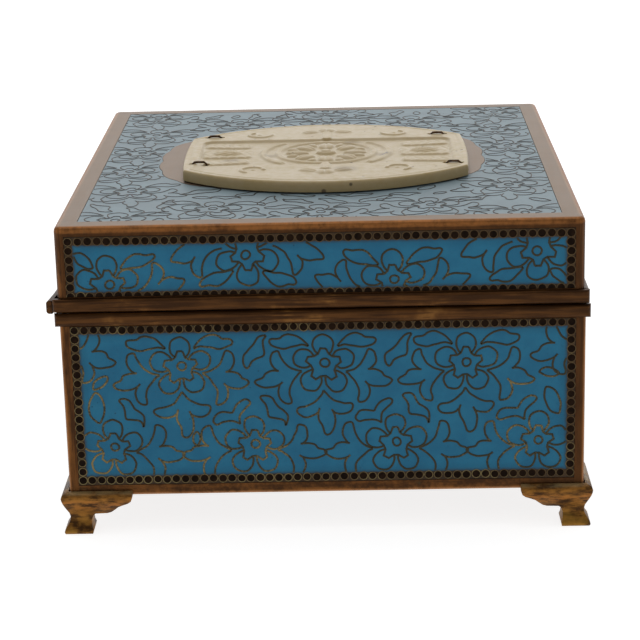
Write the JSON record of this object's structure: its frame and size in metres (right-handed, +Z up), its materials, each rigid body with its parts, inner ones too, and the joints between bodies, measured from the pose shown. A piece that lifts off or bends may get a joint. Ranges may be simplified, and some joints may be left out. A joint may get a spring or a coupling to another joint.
{
  "type": "cloisonne enamel box",
  "caption": "Rectangular cloisonne enamel box on bracket feet, with a lift-off lid carrying a carved jade plaque; holds small things such as jewellery.",
  "frame": {"origin": "on the ground under the middle of the body", "axes": "+Z up, the front looks along -Y, +X to the right as seen from the front"},
  "size_m": [0.1322, 0.1464, 0.0821],
  "materials": {
    "copper": "bare copper, worn and patinated brown",
    "strip_copper": "rounded copper strip, dark brown patina",
    "cast_brass": "cast brass, unpolished, with dark patina in the hollows",
    "enamel": "polished turquoise cloisonne enamel with fine brass wires",
    "jade": "pale celadon to straw jade, softly polished",
    "tie_wire": "dark oxidised copper wire"
  },
  "bodies": {
    "root": {"body_shell": "copper", "body_enamel_front": "enamel", "body_enamel_back": "enamel", "body_enamel_left": "enamel", "body_enamel_right": "enamel", "body_moulding_front": "strip_copper", "body_moulding_back": "strip_copper", "body_moulding_left": "strip_copper", "body_moulding_right": "strip_copper", "foot_front_left": "cast_brass", "foot_front_right": "cast_brass", "foot_back_left": "cast_brass", "foot_back_right": "cast_brass", "lid_shell": "copper", "lid_enamel_front": "enamel", "lid_enamel_back": "enamel", "lid_enamel_left": "enamel", "lid_enamel_right": "enamel", "lid_enamel_top": "enamel", "lid_moulding_front": "strip_copper", "lid_moulding_back": "strip_copper", "lid_moulding_left": "strip_copper", "lid_moulding_right": "strip_copper", "jade_plaque": "jade", "tie_1": "tie_wire", "tie_2": "tie_wire", "tie_3": "tie_wire", "tie_4": "tie_wire"}
  },
  "joints": []
}
